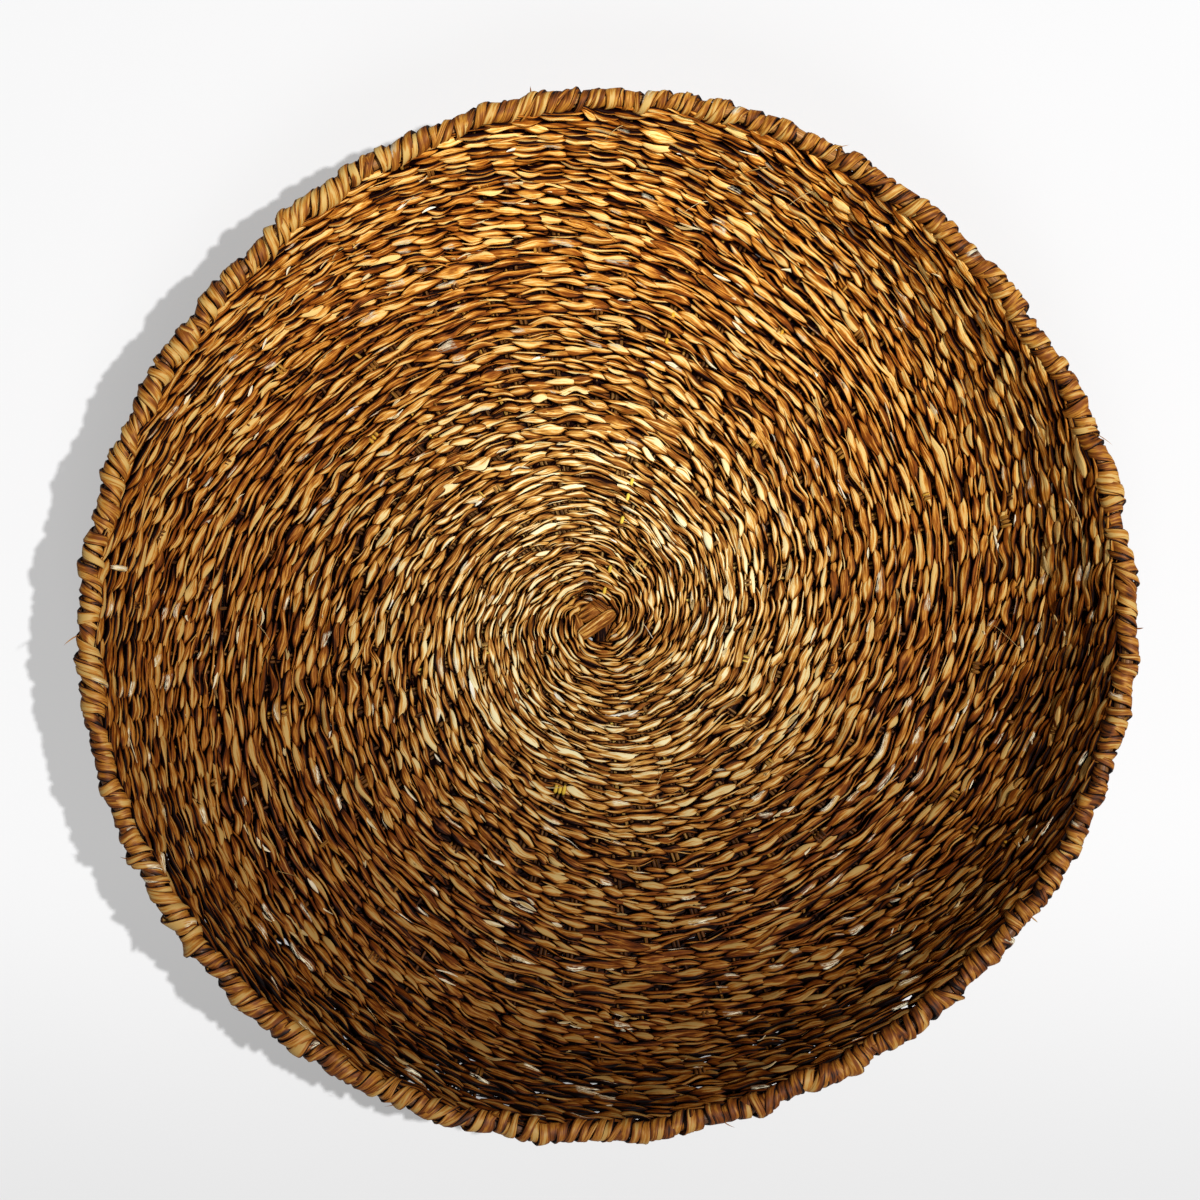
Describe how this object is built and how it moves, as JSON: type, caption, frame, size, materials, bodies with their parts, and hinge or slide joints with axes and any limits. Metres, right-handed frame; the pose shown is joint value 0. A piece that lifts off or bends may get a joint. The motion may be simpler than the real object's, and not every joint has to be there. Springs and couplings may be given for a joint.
{
  "type": "seagrass tray",
  "caption": "Round shallow tray of woven seagrass with a flat floor, a flared wall and a thick rim bound with seagrass strip, for serving, storing or display.",
  "frame": {"origin": "middle of the underside, on the surface that the tray stands on", "axes": "+Z up out of the tray's mouth, +X to the right and +Y up in the picture"},
  "size_m": [0.4498, 0.4498, 0.06],
  "materials": {
    "seagrass": "dried plant fibre, semi-matt",
    "stem": "dried stems, matt",
    "cane": "split cane, satin",
    "binding": "dried plant fibre, semi-matt"
  },
  "bodies": {
    "root": {"starting_knot": "seagrass", "starting_ring_upper": "seagrass", "starting_ring_lower": "seagrass", "floor_weaver_01": "seagrass", "floor_weaver_02": "seagrass", "floor_weaver_03": "seagrass", "floor_weaver_04": "seagrass", "floor_weaver_05": "seagrass", "floor_weaver_06": "seagrass", "floor_weaver_07": "seagrass", "floor_weaver_08": "seagrass", "floor_weaver_09": "seagrass", "floor_weaver_10": "seagrass", "floor_weaver_11": "seagrass", "floor_weaver_12": "seagrass", "wall_weaver_01": "seagrass", "wall_weaver_02": "seagrass", "wall_weaver_03": "seagrass", "wall_weaver_04": "seagrass", "wall_weaver_05": "seagrass", "wall_weaver_06": "seagrass", "stake_01": "stem", "stake_02": "stem", "stake_03": "stem", "stake_04": "stem", "stake_05": "stem", "stake_06": "stem", "stake_07": "stem", "stake_08": "stem", "stake_09": "stem", "stake_10": "stem", "stake_11": "stem", "stake_12": "stem", "stake_13": "stem", "stake_14": "stem", "stake_15": "stem", "stake_16": "stem", "rim_hoop": "cane", "rim_binding_01": "binding", "rim_binding_02": "binding", "rim_binding_03": "binding", "rim_binding_04": "binding", "rim_binding_05": "binding", "rim_binding_06": "binding", "rim_binding_07": "binding", "rim_binding_08": "binding"}
  },
  "joints": []
}
